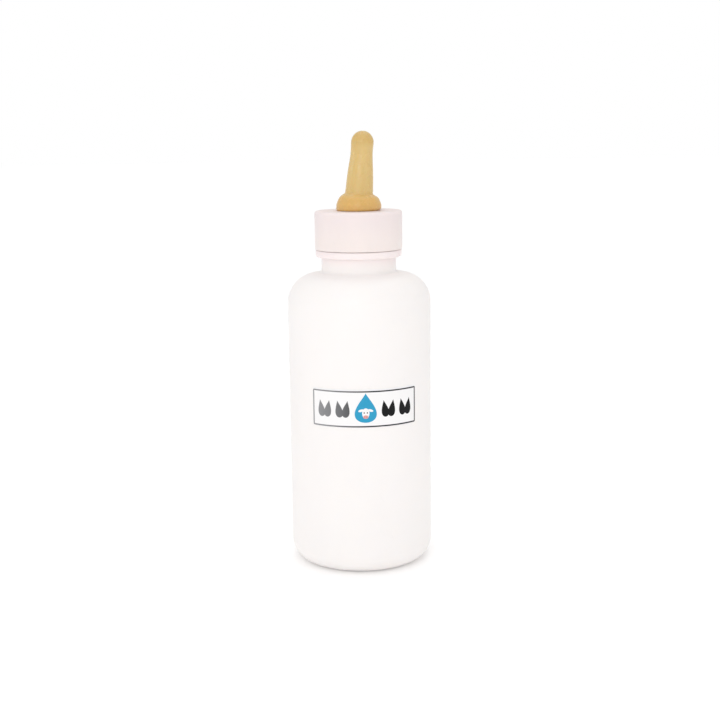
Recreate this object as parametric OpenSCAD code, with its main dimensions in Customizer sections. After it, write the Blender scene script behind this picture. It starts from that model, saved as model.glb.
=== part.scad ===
// Calf feeding bottle: a blown bottle, a screw cap, a latex teat that leans a little, and a label.
// Millimetres, +Z up, origin at the centre of the base, front of the bottle towards -Y.
// The cap unscrews anticlockwise, seen from above, and takes the teat up with it.

/* [Bottle] */
// Outer diameter of the body
body_d = 88; // [86:1:92]
// Height at which the straight side ends and the shoulder begins
side_top = 163.6; // [140:0.1:200]
// Radius of the rounded corner round the base
base_corner_r = 11.6; // [8:0.1:14]
// Radius of the rounded shoulder
shoulder_r = 17; // [14:0.5:17.5]
// Slope of the shoulder up to the neck, in degrees
shoulder_slope = 8; // [4:1:12]
// Thickness of the blown wall
wall = 1.6; // [1.2:0.1:2]
// Rise of the hollow under the base
push_up = 3; // [2:0.5:4]
// Diameter of the hollow under the base, inside the ring that the bottle stands on
push_up_d = 56; // [48:1:58]

/* [Neck] */
// Outer diameter of the neck
neck_d = 45.8; // [45:0.1:46]
// Bore of the neck
neck_bore_d = 41; // [38:0.5:42]
// Bare neck between the shoulder and the bead
neck_h = 9.4; // [6:0.1:14]
// Radius of the hollow corner where the shoulder meets the neck
neck_fillet_r = 2; // [1:0.5:2.5]
// Outer diameter of the bead under the cap
bead_d = 52.8; // [51:0.1:53.4]
// Height of the bead
bead_h = 4.1; // [3:0.1:4.4]
// Gap between the bead and the closed cap
cap_gap = 1.2; // [1:0.1:2]

/* [Cap] */
// Outer diameter of the cap
cap_d = 53.7; // [53.5:0.1:55]
// Height of the cap
cap_h = 22.9; // [22:0.1:26]
// Inner diameter of the cap's skirt
cap_bore_d = 50.1; // [50:0.1:50.4]
// Thickness of the cap's top plate
cap_plate = 2; // [1.6:0.1:2.4]
// Radius of the rounded top edge
cap_edge_r = 1.6; // [1:0.1:2]
// Hole in the top plate that the teat is pulled through
cap_hole_d = 24; // [24:0.1:24.4]

/* [Thread] */
// Rise of the thread in one turn
pitch = 5; // [4.8:0.1:5.4]
// Turns of ridge, on the neck and in the cap
thread_turns = 1.5; // [1:0.25:1.75]
// Width of a ridge at its foot
ridge_foot = 2.2; // [1.8:0.1:2.2]
// Width of a ridge at its crest
ridge_crest = 1; // [0.8:0.1:1]
// Crest diameter of the ridge on the neck
neck_ridge_d = 48.8; // [48.4:0.1:48.8]
// Crest diameter of the ridge in the cap
cap_ridge_d = 47; // [47:0.1:47.4]
// How far the cap's ridge sits below the neck's ridge when the cap is closed
ridge_drop = 1.8; // [1.75:0.05:2.1]

/* [Teat] */
// Outer diameter of the flange that the cap clamps on the rim
flange_d = 44; // [43:0.5:46]
// Thickness of the flange
flange_t = 2; // [1.6:0.1:2.4]
// Diameter of the groove that sits in the cap's hole
groove_d = 23.4; // [23:0.1:23.4]
// Diameter of the dome above the cap
dome_d = 26.9; // [25:0.1:28]
// Height of the dome above the cap
dome_h = 10.2; // [9:0.1:12]
// Radius of the dome's rounded shoulder
dome_corner_r = 6.7; // [5:0.1:7]
// Thickness of the latex
latex_t = 2.1; // [1.8:0.1:2.4]
// Lean of the shaft towards +X, in degrees
teat_lean = 4.4; // [0:0.1:6]
// Height above the cap of the point that the shaft leans about
lean_height = 7; // [6:0.5:8]
// Shaft radius at its root
root_r = 8.6; // [8:0.1:9]
// Shaft radius half way up
middle_r = 8; // [7.6:0.1:8.4]
// Shaft radius at the waist under the tip
waist_r = 6.6; // [6.4:0.1:6.8]
// Radius of the round tip
tip_r = 6.85; // [6.8:0.05:7.2]
// Length of the shaft, from the point it leans about to the centre of the round tip
shaft_l = 34.2; // [30:0.1:40]
// Diameter of the milk hole
milk_hole_d = 1.5; // [1:0.1:2]
// Diameter of the air vent through the flange
vent_d = 1.2; // [1:0.1:1.4]

/* [Label] */
// Width of the label, seen from the front
label_w = 61.3; // [40:0.1:70]
// Height of the label
label_h = 23; // [16:0.5:40]
// Height of the label's lower edge above the base
label_z = 92.9; // [20:0.1:120]
// Radius of the label's corners
label_corner_r = 1; // [0.5:0.5:6]

/* [Hidden] */
$fn = 96;

white = [0.96, 0.95, 0.94];
warm_white = [0.94, 0.91, 0.90];
amber = [0.86, 0.72, 0.45];
silver_grey = [0.88, 0.88, 0.88];

label_t = 0.15; // thickness of the film
glue_t = 0.02; // adhesive under the film
overrun = 1; // how far a cutting shape passes the face that it cuts
sunk = 0.5; // depth of a ridge's foot inside the wall it stands on
section_step = 10; // degrees between a ridge's sections
run_out = 30; // degrees over which a ridge dies away at each end
run_out_share = 0.2; // share of a ridge's height left at its very end
shaft_foot = 2; // how far the shaft reaches down below the point it leans about
middle_share = 0.4; // share of the shaft's length at which it has its middle radius
waist_share = 0.82; // share of the shaft's length at which it has its waist
bulb_start = 15; // degrees below the tip's widest circle where the shaft meets it
vent_r = 16; // distance of the vent from the axis
vent_channel = 0.6; // depth of the channel that leads air to the vent
lead_in = 0.8; // chamfer inside the cap's lower edge

body_r = body_d / 2;
neck_r = neck_d / 2;
bore_r = neck_bore_d / 2;
cap_r = cap_d / 2;
cap_bore_r = cap_bore_d / 2;
dome_r = dome_d / 2;
// Radius of the sphere that shapes the hollow under the base
push_up_r = ((push_up_d / 2) ^ 2 + push_up ^ 2) / (2 * push_up);

// Where the shoulder's arc ends and its slope begins, at a depth inside the outer surface
function slope_x(depth) = body_r - shoulder_r + (shoulder_r - depth) * sin(shoulder_slope);
function slope_z(depth) = side_top + (shoulder_r - depth) * cos(shoulder_slope);
// Height of the slope at the distance x from the axis
function slope_at(depth, x) = slope_z(depth) + (slope_x(depth) - x) * tan(shoulder_slope);

neck_foot_z = slope_at(0, neck_r);
bead_z = neck_foot_z + neck_h;
cap_z = bead_z + bead_h + cap_gap;
cap_top = cap_z + cap_h;
plate_z = cap_top - cap_plate;
rim_z = plate_z - flange_t;
// Middle of the neck ridge at its lower end: its upper end stays under the rim
neck_ridge_z = rim_z - ridge_foot - thread_turns * pitch - overrun;
lean_z = cap_top + lean_height;

// The half of a disc that lies on the +X side of the axis
module half_disc(r) {
  intersection() {
    circle(r);
    translate([0, -r])
      square([r, 2 * r]);
  }
}

// A disc in an outline
module disc(x, z, r) {
  translate([x, z])
    circle(r);
}

// A block in an outline, from the axis out to r
module block(r, low, high) {
  translate([0, low])
    square([r, high - low]);
}

// The body's outline at a depth inside its outer surface, closed at the distance neck_x from the axis
module body_outline(depth, neck_x) {
  side_x = body_r - depth;
  polygon([
    [0, depth],
    [body_r - base_corner_r, depth],
    [side_x, base_corner_r],
    [side_x, side_top],
    [slope_x(depth), slope_z(depth)],
    [neck_x, slope_at(depth, neck_x)],
    [0, slope_at(depth, neck_x)]
  ]);
  disc(body_r - base_corner_r, base_corner_r, base_corner_r - depth);
  disc(body_r - shoulder_r, side_top, shoulder_r - depth);
}

// The hollow corner between the shoulder's slope and the neck
module neck_fillet_outline() {
  centre_x = neck_r + neck_fillet_r;
  centre_z = slope_at(0, centre_x) + neck_fillet_r / cos(shoulder_slope);
  difference() {
    polygon([
      [neck_r - overrun, neck_foot_z - overrun],
      [centre_x - neck_fillet_r * sin(shoulder_slope), centre_z - neck_fillet_r * cos(shoulder_slope)],
      [centre_x, centre_z],
      [neck_r, centre_z],
      [neck_r - overrun, centre_z]
    ]);
    disc(centre_x, centre_z, neck_fillet_r);
  }
}

// A trapezium ridge swept along a right-hand helix, standing on the wall of radius wall_r
module helix_ridge(wall_r, crest_r, start_z) {
  side = crest_r > wall_r ? 1 : -1;
  foot_r = wall_r - side * sunk;
  total = 360 * thread_turns;
  steps = round(total / section_step);
  // Share of the full height at the angle a, less than 1 only near the ends
  function share(a) = min(1, run_out_share + (1 - run_out_share) * min(a, total - a) / run_out);
  function crest_at(a) = foot_r + (crest_r - foot_r) * share(a);
  // Distance from the axis and height of the four corners of one section
  function corners(c) = side > 0
    ? [[foot_r, -ridge_foot / 2], [c, -ridge_crest / 2], [c, ridge_crest / 2], [foot_r, ridge_foot / 2]]
    : [[c, -ridge_crest / 2], [foot_r, -ridge_foot / 2], [foot_r, ridge_foot / 2], [c, ridge_crest / 2]];
  points = [
    for (i = [0 : steps])
      let (a = i * total / steps)
      for (p = corners(crest_at(a)))
        [p.x * cos(a), p.x * sin(a), start_z + pitch * a / 360 + p.y]
  ];
  last = 4 * steps;
  sides = [
    for (i = [0 : steps - 1], j = [0 : 3])
      let (k = (j + 1) % 4, low = 4 * i, high = 4 * i + 4)
      each [[low + j, low + k, high + k], [low + j, high + k, high + j]]
  ];
  start_end = [[3, 2, 1], [3, 1, 0]];
  far_end = [[last, last + 1, last + 2], [last, last + 2, last + 3]];
  polyhedron(points, concat(sides, start_end, far_end));
}

// Outer surface of the bottle, without its thread
module bottle_outline() {
  difference() {
    body_outline(0, neck_r);
    disc(0, push_up - push_up_r, push_up_r);
  }
  block(neck_r, neck_foot_z - overrun, rim_z);
  neck_fillet_outline();
  bead_round = bead_h / 2;
  block(bead_d / 2 - bead_round, bead_z, bead_z + bead_h);
  disc(bead_d / 2 - bead_round, bead_z + bead_round, bead_round);
}

// The space inside the bottle, up through the neck
module bottle_hollow_outline() {
  difference() {
    body_outline(wall, bore_r);
    disc(0, push_up - push_up_r, push_up_r + wall);
  }
  block(bore_r, side_top, rim_z + overrun);
}

// The blow-moulded bottle
module bottle() {
  color(white) {
    difference() {
      rotate_extrude()
        bottle_outline();
      rotate_extrude()
        bottle_hollow_outline();
    }
    helix_ridge(neck_r, neck_ridge_d / 2, neck_ridge_z);
  }
}

// Cross-section of the cap, without its thread
module cap_outline() {
  difference() {
    union() {
      block(cap_r, cap_z, cap_top - cap_edge_r);
      block(cap_r - cap_edge_r, cap_top - 2 * cap_edge_r, cap_top);
      disc(cap_r - cap_edge_r, cap_top - cap_edge_r, cap_edge_r);
    }
    block(cap_bore_r, cap_z - overrun, plate_z);
    block(cap_hole_d / 2, plate_z - overrun, cap_top + overrun);
    polygon([
      [cap_bore_r - overrun, cap_z - overrun],
      [cap_bore_r + lead_in + overrun, cap_z - overrun],
      [cap_bore_r - overrun, cap_z + lead_in + overrun]
    ]);
  }
}

// The screw cap that clamps the teat
module screw_cap() {
  color(warm_white) {
    rotate_extrude()
      cap_outline();
    helix_ridge(cap_bore_r, cap_ridge_d / 2, neck_ridge_z - ridge_drop);
  }
}

// The dome's outline at a depth inside its outer surface, cut off flat at the height low
module dome_outline(depth, low) {
  corner_x = dome_r - dome_corner_r;
  corner_z = cap_top + dome_h - dome_corner_r;
  block(dome_r - depth, low, corner_z);
  block(corner_x, low, cap_top + dome_h - depth);
  intersection() {
    disc(corner_x, corner_z, dome_corner_r - depth);
    block(dome_r, low, cap_top + dome_h);
  }
}

// The shaft's outline at a depth inside its outer surface, with its origin where it leans
module shaft_outline(depth) {
  polygon([
    [0, -shaft_foot],
    [root_r - depth, -shaft_foot],
    [root_r - depth, dome_h - lean_height],
    [middle_r - depth, shaft_l * middle_share],
    [waist_r - depth, shaft_l * waist_share],
    [(tip_r - depth) * cos(bulb_start), shaft_l - (tip_r - depth) * sin(bulb_start)],
    [0, shaft_l]
  ]);
  translate([0, shaft_l])
    half_disc(tip_r - depth);
}

// The shaft as a solid at a depth inside its outer surface, leaning in its place
module shaft(depth) {
  translate([0, 0, lean_z])
    rotate([0, teat_lean, 0])
      rotate_extrude()
        shaft_outline(depth);
}

// The hollow latex teat
module teat() {
  color(amber)
    difference() {
      union() {
        rotate_extrude() {
          block(flange_d / 2, rim_z, plate_z);
          block(groove_d / 2, rim_z, cap_top + overrun);
          dome_outline(0, cap_top);
        }
        shaft(0);
      }
      rotate_extrude() {
        block(groove_d / 2 - latex_t, rim_z - overrun, cap_top + latex_t + overrun);
        dome_outline(latex_t, cap_top + latex_t);
      }
      shaft(latex_t);
      translate([0, 0, lean_z])
        rotate([0, teat_lean, 0])
          translate([0, 0, shaft_l])
            cylinder(h = 2 * tip_r, d = milk_hole_d);
      translate([0, vent_r, rim_z - overrun])
        cylinder(h = flange_t + 2 * overrun, d = vent_d);
      translate([-vent_d / 2, vent_r, plate_z - vent_channel])
        cube([vent_d, flange_d / 2, flange_t]);
    }
}

// A rectangle with round corners, centred left to right and standing on the X axis
module rounded_rectangle(w, h, r) {
  translate([-w / 2 + r, 0])
    square([w - 2 * r, h]);
  translate([-w / 2, r])
    square([w, h - 2 * r]);
  for (x = [r - w / 2, w / 2 - r], y = [r, h - r])
    disc(x, y, r);
}

// The printed film wrapped round the front of the body
module front_label() {
  color(silver_grey)
    intersection() {
      rotate_extrude()
        translate([body_r + glue_t, label_z - overrun])
          square([label_t, label_h + 2 * overrun]);
      translate([0, 0, label_z])
        rotate([90, 0, 0])
          linear_extrude(body_d)
            rounded_rectangle(label_w, label_h, label_corner_r);
    }
}

bottle();
screw_cap();
teat();
front_label();
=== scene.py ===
"""Calf feeding bottle: its four pieces, its finishes and a plain studio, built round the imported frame.

Class fields are millimetres, as on a maker's drawing. Meshes, lights and the camera are in metres.
"""
import logging
import math
from dataclasses import dataclass
from enum import Enum
from typing import Any, Callable, Sequence

import bmesh
import bpy
from mathutils import Matrix, Vector


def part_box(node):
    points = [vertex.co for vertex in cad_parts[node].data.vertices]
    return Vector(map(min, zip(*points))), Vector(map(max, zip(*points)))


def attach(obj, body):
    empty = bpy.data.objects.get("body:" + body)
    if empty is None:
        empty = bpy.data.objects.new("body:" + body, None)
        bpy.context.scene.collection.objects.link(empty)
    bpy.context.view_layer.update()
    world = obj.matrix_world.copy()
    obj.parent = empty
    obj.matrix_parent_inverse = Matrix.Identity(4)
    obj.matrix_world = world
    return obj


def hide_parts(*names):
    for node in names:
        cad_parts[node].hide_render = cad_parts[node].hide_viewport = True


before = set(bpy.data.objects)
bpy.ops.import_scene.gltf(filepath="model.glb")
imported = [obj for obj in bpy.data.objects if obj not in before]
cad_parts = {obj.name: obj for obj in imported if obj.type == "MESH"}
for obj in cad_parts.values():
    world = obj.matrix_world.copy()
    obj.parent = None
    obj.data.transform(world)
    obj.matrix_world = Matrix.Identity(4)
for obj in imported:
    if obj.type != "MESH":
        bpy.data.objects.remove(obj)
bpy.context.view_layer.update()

LOG = logging.getLogger("calf_feeding_bottle")
MM = 0.001
MERGE_DISTANCE = 1e-7
SHARP_ANGLE = 50.0
IN_LINE = 0.01
TOUCHING = 0.05
THREAD_EDGE = 0.22
NOISE_LOW = 0.3
NOISE_HIGH = 0.7
FLAT = (1.0, 1.0, 0.0)

Colour = tuple[float, float, float]
Point = tuple[float, float, float]
WHITE: Colour = (1.0, 1.0, 1.0)


class Body(Enum):
    """The rigid bodies that pieces ride on."""

    BOTTLE = "bottle"
    TEAT = "teat"
    CAP = "cap"


class Slot(Enum):
    """The record's material slots."""

    BOTTLE = "bottle_plastic"
    CAP = "cap_plastic"
    LATEX = "latex"
    FILM = "label_film"


# ---------------------------------------------------------------- cross-sections


@dataclass(frozen=True)
class Corner:
    """A corner of a cross-section at the distance x from the axis and the height z, in millimetres."""

    x: float
    z: float
    radius: float = 0.0
    segments: int = 8


@dataclass(frozen=True)
class Arc:
    """A part of a turn, in degrees, cut into equal steps."""

    degrees: float
    steps: int


def round_corners(
    mesh: bmesh.types.BMesh, corners: Sequence[bmesh.types.BMVert], offset: float, segments: int
) -> None:
    """Rounds the corners of a flat outline.

    Args:
        mesh: The mesh that they are in.
        corners: Their vertices.
        offset: The length to take off each side, in metres.
        segments: The edges of each arc.
    """
    bmesh.ops.bevel(
        mesh,
        geom=list(corners),
        offset=offset,
        offset_type="OFFSET",
        affect="VERTICES",
        segments=segments,
        profile=0.5,
        material=-1,
    )


class Section:
    """A cross-section in the half plane y = 0, drawn from corners and turned about the Z axis."""

    def __init__(self, corners: Sequence[Corner], closed: bool) -> None:
        """Draws the outline and rounds its corners.

        Args:
            corners: The outline's corners in order.
            closed: Whether the last corner joins the first.
        """
        self.mesh = bmesh.new()
        self.verts = [self.mesh.verts.new((c.x * MM, 0.0, c.z * MM)) for c in corners]
        ends = self.verts[1:] + ([self.verts[0]] if closed else [])
        for start, end in zip(self.verts, ends):
            self.mesh.edges.new((start, end))
        places = [vert.co.copy() for vert in self.verts]
        for index, corner in enumerate(corners):
            if corner.radius:
                before = places[index - 1] - places[index]
                after = places[(index + 1) % len(places)] - places[index]
                self._round_off(self.verts[index], corner, before.angle(after))

    def _round_off(self, vert: bmesh.types.BMVert, corner: Corner, opening: float) -> None:
        """Replaces a corner by an arc that meets both of its sides, whose opening is in radians."""
        along_side = corner.radius * MM / math.tan(opening / 2)
        round_corners(self.mesh, [vert], along_side, corner.segments)

    def cut(self, edge: bmesh.types.BMEdge, spacing: float) -> None:
        """Cuts an edge into equal short ones."""
        cuts = math.ceil(edge.calc_length() / (spacing * MM)) - 1
        bmesh.ops.subdivide_edges(self.mesh, edges=[edge], cuts=cuts)

    def refine(self, x: float, low: float, high: float, spacing: float) -> None:
        """Cuts the upright run that stands at x into short edges.

        Args:
            x: The run's distance from the axis, in millimetres.
            low: A height below the run's middle, in millimetres.
            high: A height above the run's middle, in millimetres.
            spacing: The longest edge to leave, in millimetres.
        """
        for edge in list(self.mesh.edges):
            ends = [vert.co / MM for vert in edge.verts]
            upright = all(abs(end.x - x) < IN_LINE for end in ends)
            middle = (ends[0].z + ends[1].z) / 2
            if upright and low < middle < high:
                self.cut(edge, spacing)

    def turn(self, arcs: Sequence[Arc]) -> bmesh.types.BMesh:
        """Sweeps the outline once round the Z axis.

        Args:
            arcs: The parts of the turn, which add up to 360 degrees.

        Returns:
            The closed mesh, with its faces pointing outwards.
        """
        swept: list[Any] = [*self.mesh.verts, *self.mesh.edges]
        for arc in arcs:
            swept = bmesh.ops.spin(
                self.mesh,
                geom=swept,
                cent=(0.0, 0.0, 0.0),
                axis=(0.0, 0.0, 1.0),
                angle=math.radians(arc.degrees),
                steps=arc.steps,
                use_merge=len(arcs) == 1,
            )["geom_last"]
        bmesh.ops.remove_doubles(self.mesh, verts=self.mesh.verts, dist=MERGE_DISTANCE)
        bmesh.ops.recalc_face_normals(self.mesh, faces=self.mesh.faces)
        return self.mesh


def smooth_step(value: float) -> float:
    """Eases a value from 0 to 1, held at both ends."""
    share = min(1.0, max(0.0, value))
    return share * share * (3.0 - 2.0 * share)


def reshape(mesh: bmesh.types.BMesh, move: Callable[[Vector], Vector]) -> None:
    """Moves every vertex of a mesh.

    Args:
        mesh: The mesh to change.
        move: Gives a vertex's new place from its old one, both in millimetres.
    """
    for vert in mesh.verts:
        vert.co = move(vert.co / MM) * MM
    mesh.normal_update()


def make_piece(name: str, mesh: bmesh.types.BMesh, finish: bpy.types.Material) -> bpy.types.Object:
    """Turns a finished mesh into a smooth-shaded object at the origin.

    Args:
        name: The piece's name.
        mesh: Its mesh, which is used up.
        finish: Its material.

    Returns:
        The new object, linked to the scene.
    """
    data = bpy.data.meshes.new(name)
    mesh.to_mesh(data)
    mesh.free()
    data.shade_smooth()
    data.set_sharp_from_angle(angle=math.radians(SHARP_ANGLE))
    data.materials.append(finish)
    piece = bpy.data.objects.new(name, data)
    bpy.context.collection.objects.link(piece)
    return piece


def settle(piece: bpy.types.Object, body: Body, node: str) -> None:
    """Puts a finished piece on its body, in the place of its CAD node, and reports it.

    Args:
        piece: The piece.
        body: The body that it rides on.
        node: The CAD node that it stands for.
    """
    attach(piece, body.value)
    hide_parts(node)
    faces = len(piece.data.polygons)
    LOG.info("%s: %d faces, rides on %s, stands for %s", piece.name, faces, body.value, node)


# ---------------------------------------------------------------- shader building


def opaque(colour: Colour) -> tuple[float, float, float, float]:
    """Gives a colour its full alpha."""
    return (*colour, 1.0)


class Shader:
    """A node tree that nodes are added to and joined in."""

    def __init__(self, tree: bpy.types.NodeTree) -> None:
        """Starts from an existing tree."""
        self.tree = tree

    def feed(self, socket: bpy.types.NodeSocket, value: Any) -> None:
        """Sets an input, or joins it to the socket that feeds it.

        Args:
            socket: The input.
            value: A plain value or a socket.
        """
        if isinstance(value, bpy.types.NodeSocket):
            self.tree.links.new(value, socket)
        else:
            socket.default_value = value

    def add(self, kind: str, inputs: dict[Any, Any] | None = None, **settings: Any) -> bpy.types.Node:
        """Adds a node, sets it up and joins its inputs.

        Args:
            kind: The node's type name.
            inputs: For each input's name or number, a value or the socket that feeds it.
            **settings: The node's own properties.

        Returns:
            The new node.
        """
        node = self.tree.nodes.new(kind)
        for name, value in settings.items():
            setattr(node, name, value)
        for key, value in (inputs or {}).items():
            self.feed(node.inputs[key], value)
        return node

    def math(self, operation: str, *values: Any) -> bpy.types.NodeSocket:
        """Adds a math node and returns its result."""
        return self.add("ShaderNodeMath", dict(enumerate(values)), operation=operation).outputs[0]

    def vector(self, operation: str, *values: Any) -> bpy.types.NodeSocket:
        """Adds a vector math node and returns its vector."""
        return self.add("ShaderNodeVectorMath", dict(enumerate(values)), operation=operation).outputs[0]

    def length(self, vector: bpy.types.NodeSocket) -> bpy.types.NodeSocket:
        """Measures a vector and returns the length's socket."""
        return self.add("ShaderNodeVectorMath", {0: vector}, operation="LENGTH").outputs["Value"]

    def parts(self, vector: bpy.types.NodeSocket) -> Any:
        """Splits a vector and returns its three sockets."""
        return self.add("ShaderNodeSeparateXYZ", {0: vector}).outputs

    def turned(self, place: bpy.types.NodeSocket, angle: Any, axis: str) -> bpy.types.NodeSocket:
        """Turns a place about the origin and returns its socket."""
        inputs = {"Vector": place, "Angle": angle}
        return self.add("ShaderNodeVectorRotate", inputs, rotation_type=axis).outputs[0]

    def noise(self, place: Any, scale: Any, detail: float = 2.0, **more: float) -> bpy.types.NodeSocket:
        """Adds a noise texture and returns its value."""
        inputs = {"Vector": place, "Scale": scale, "Detail": detail, **more}
        return self.add("ShaderNodeTexNoise", inputs).outputs[0]

    def ramp(
        self, value: Any, low: float, high: float, at_low: float = 0.0, at_high: float = 1.0
    ) -> bpy.types.NodeSocket:
        """Maps a value smoothly from low and high to at_low and at_high, and returns its socket."""
        inputs = {"Value": value, "From Min": low, "From Max": high, "To Min": at_low, "To Max": at_high}
        return self.add("ShaderNodeMapRange", inputs, interpolation_type="SMOOTHSTEP").outputs[0]

    def spread(self, noise: Any, low: float = 0.0, high: float = 1.0) -> bpy.types.NodeSocket:
        """Maps the values that noise mostly has to a range, and returns the result's socket."""
        return self.ramp(noise, NOISE_LOW, NOISE_HIGH, low, high)

    def mix(self, factor: Any, first: Any, second: Any) -> bpy.types.NodeSocket:
        """Mixes two colours.

        Args:
            factor: The second colour's share.
            first: The first colour, or its socket.
            second: The second colour, or its socket.

        Returns:
            The result's socket.
        """
        node = self.add("ShaderNodeMix", {"Factor": factor}, data_type="RGBA")
        for socket, value in ((node.inputs[6], first), (node.inputs[7], second)):
            self.feed(socket, value if isinstance(value, bpy.types.NodeSocket) else opaque(value))
        return node.outputs[2]

    def place(self, group: bpy.types.NodeTree, inputs: dict[str, Any]) -> bpy.types.NodeSocket:
        """Places a node group and returns its output."""
        return self.add("ShaderNodeGroup", inputs, node_tree=group).outputs[0]


class Socket(Enum):
    """The kinds of socket that the groups use."""

    FLOAT = "NodeSocketFloat"
    VECTOR = "NodeSocketVector"
    COLOUR = "NodeSocketColor"


class GroupShader(Shader):
    """A shader node group with named sockets."""

    def __init__(self, name: str, inputs: dict[str, Socket], output: tuple[str, Socket]) -> None:
        """Makes the group and its sockets.

        Args:
            name: The group's name.
            inputs: Each input's name and kind.
            output: The one output's name and kind.
        """
        super().__init__(bpy.data.node_groups.new(name, "ShaderNodeTree"))
        for title, kind in inputs.items():
            self.tree.interface.new_socket(title, in_out="INPUT", socket_type=kind.value)
        self.tree.interface.new_socket(output[0], in_out="OUTPUT", socket_type=output[1].value)
        self.given = self.tree.nodes.new("NodeGroupInput").outputs
        self.result = self.tree.nodes.new("NodeGroupOutput").inputs[0]

    def finish(self, value: bpy.types.NodeSocket) -> bpy.types.NodeTree:
        """Joins the group's output and returns the group."""
        self.tree.links.new(value, self.result)
        return self.tree


class MaterialShader(Shader):
    """A material's own node tree, empty at first."""

    def __init__(self, name: str) -> None:
        """Makes the material.

        Args:
            name: The material's name.
        """
        self.material = bpy.data.materials.new(name)
        self.material.use_nodes = True
        self.material.node_tree.nodes.clear()
        super().__init__(self.material.node_tree)

    def finish(self, inputs: dict[str, Any]) -> bpy.types.Material:
        """Ends the material with its surface.

        Args:
            inputs: The surface's settings and the sockets that feed it.

        Returns:
            The material.
        """
        surface = self.add("ShaderNodeBsdfPrincipled", inputs)
        self.add("ShaderNodeOutputMaterial", {"Surface": surface.outputs[0]})
        return self.material


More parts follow.
